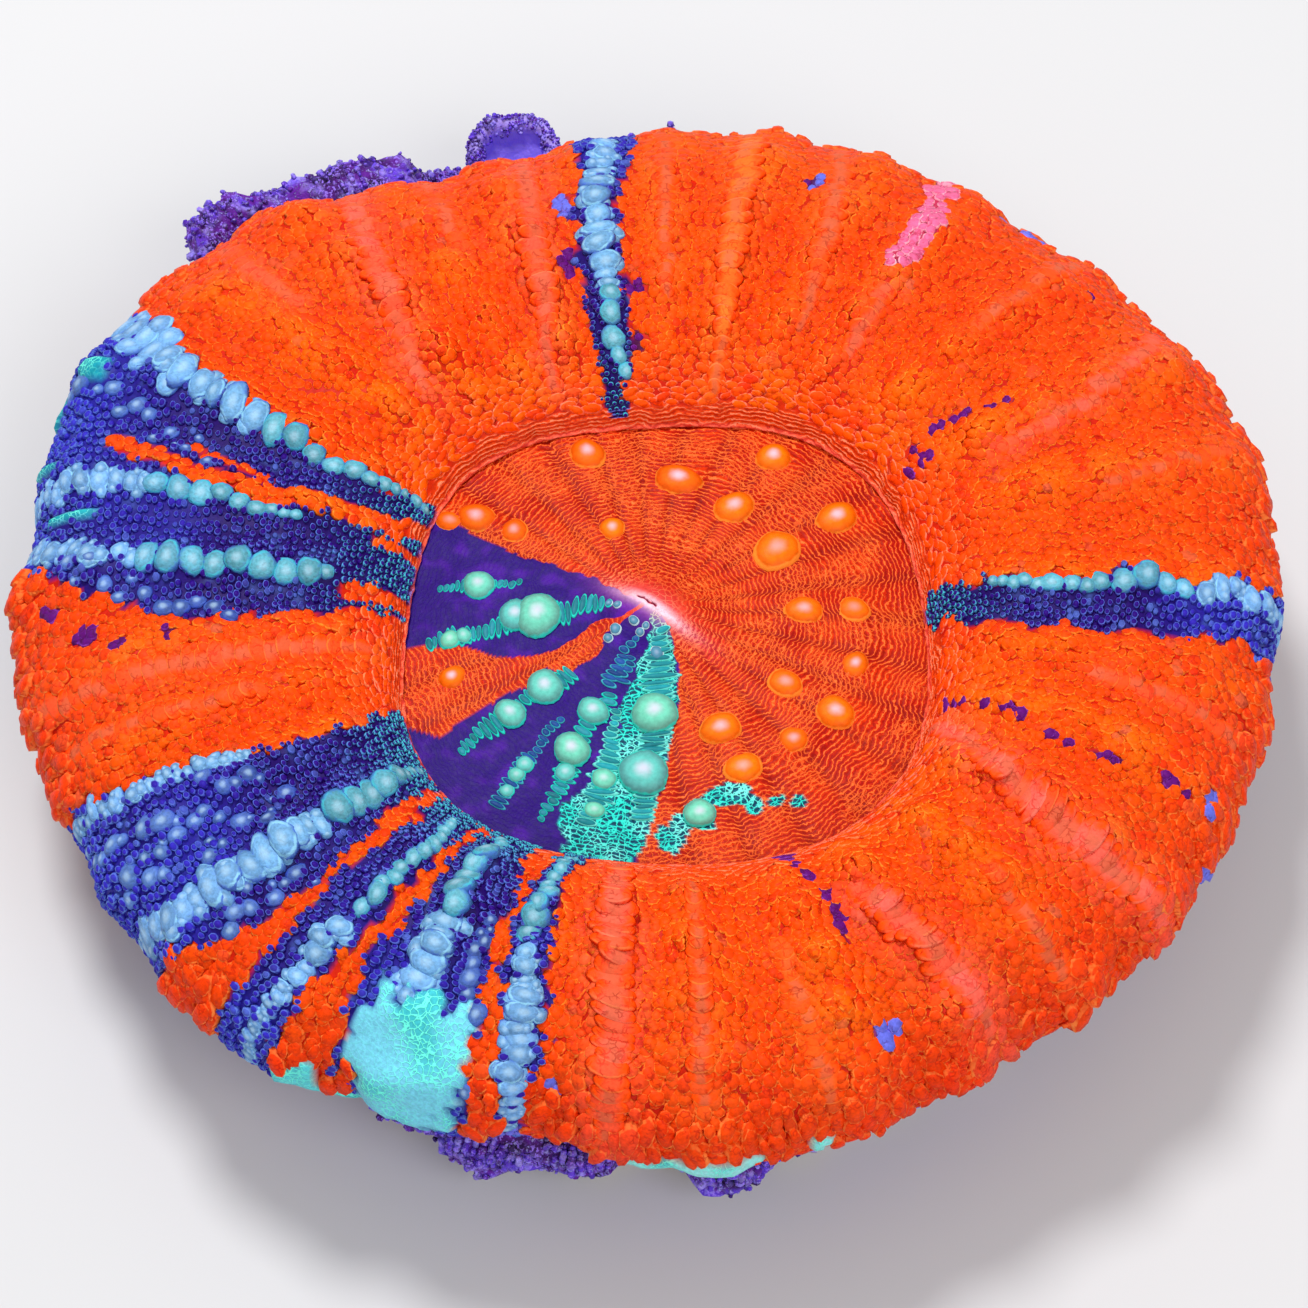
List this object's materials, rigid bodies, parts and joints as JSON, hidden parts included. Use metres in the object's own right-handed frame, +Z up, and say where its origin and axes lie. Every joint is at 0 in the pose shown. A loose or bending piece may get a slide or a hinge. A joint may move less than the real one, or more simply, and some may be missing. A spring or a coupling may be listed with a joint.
{
  "type": "scolymia coral",
  "caption": "Single fleshy polyp of a stony coral: a swollen ridged mantle round a sunken disc with domed vesicles and a mouth slit, on a crusted skeleton cut off flat.",
  "frame": {"origin": "in the flat cut under the skeleton, below the polyp's mouth", "axes": "+Z up out of the mouth, +Y to the back, where the crust ledge and the worm tube stand, +X to the right"},
  "size_m": [0.1031, 0.1044, 0.0266],
  "materials": {
    "flesh": "moist flesh, covered with fine papillae, orange with violet and teal rays",
    "crusted_stone": "rough limestone under a granular violet crust",
    "tube_stone": "rough limy tube with a pale worn rim"
  },
  "bodies": {
    "root": {"polyp": "flesh", "skeleton": "crusted_stone", "worm_tube": "tube_stone"}
  },
  "joints": []
}
